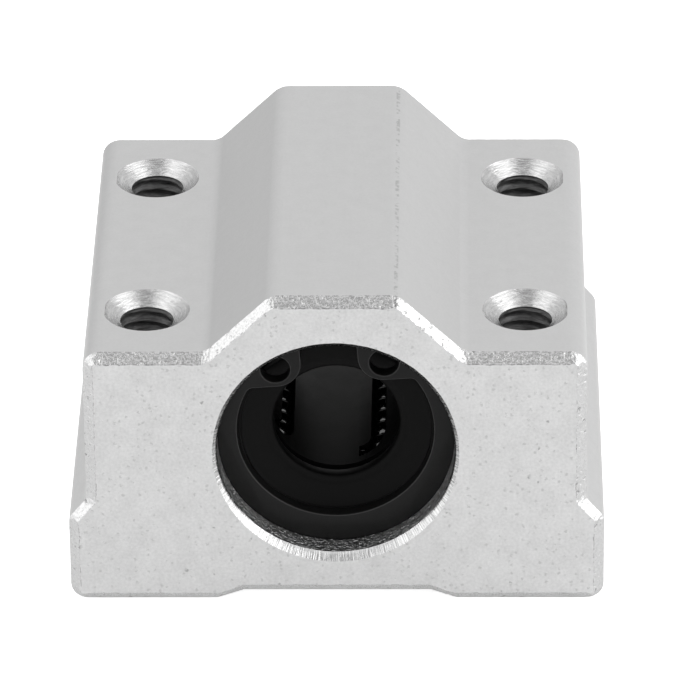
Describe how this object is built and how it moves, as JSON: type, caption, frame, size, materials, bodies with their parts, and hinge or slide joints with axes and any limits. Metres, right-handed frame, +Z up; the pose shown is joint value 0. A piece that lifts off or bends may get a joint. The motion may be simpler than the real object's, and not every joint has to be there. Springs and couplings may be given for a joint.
{
  "type": "linear bearing block",
  "caption": "Pillow-style aluminium block holding a recirculating ball bearing for a round shaft, with countersunk fixing holes through its flanges.",
  "frame": {"origin": "middle of the rectangle round the block's underside, on the surface the block is bolted to", "axes": "+Y along the shaft, away from the viewer; +X across the block to the right; +Z up from the mounting surface"},
  "size_m": [0.034, 0.03, 0.022],
  "materials": {
    "housing": "satin, fine blasted",
    "circlips": "black phosphated",
    "sleeve": "ground",
    "cage": "moulded, semi-matte",
    "side_rings": "stamped",
    "seals": "matte",
    "balls": "polished"
  },
  "bodies": {
    "root": {"housing": "housing", "circlip_front": "circlips", "circlip_rear": "circlips", "outer_sleeve": "sleeve", "ball_cage": "cage", "side_ring_front": "side_rings", "side_ring_rear": "side_rings", "seal_front": "seals", "seal_rear": "seals", "load_balls_1": "balls", "load_balls_2": "balls", "load_balls_3": "balls", "load_balls_4": "balls", "return_balls_1": "balls", "return_balls_2": "balls", "return_balls_3": "balls", "return_balls_4": "balls"}
  },
  "joints": []
}
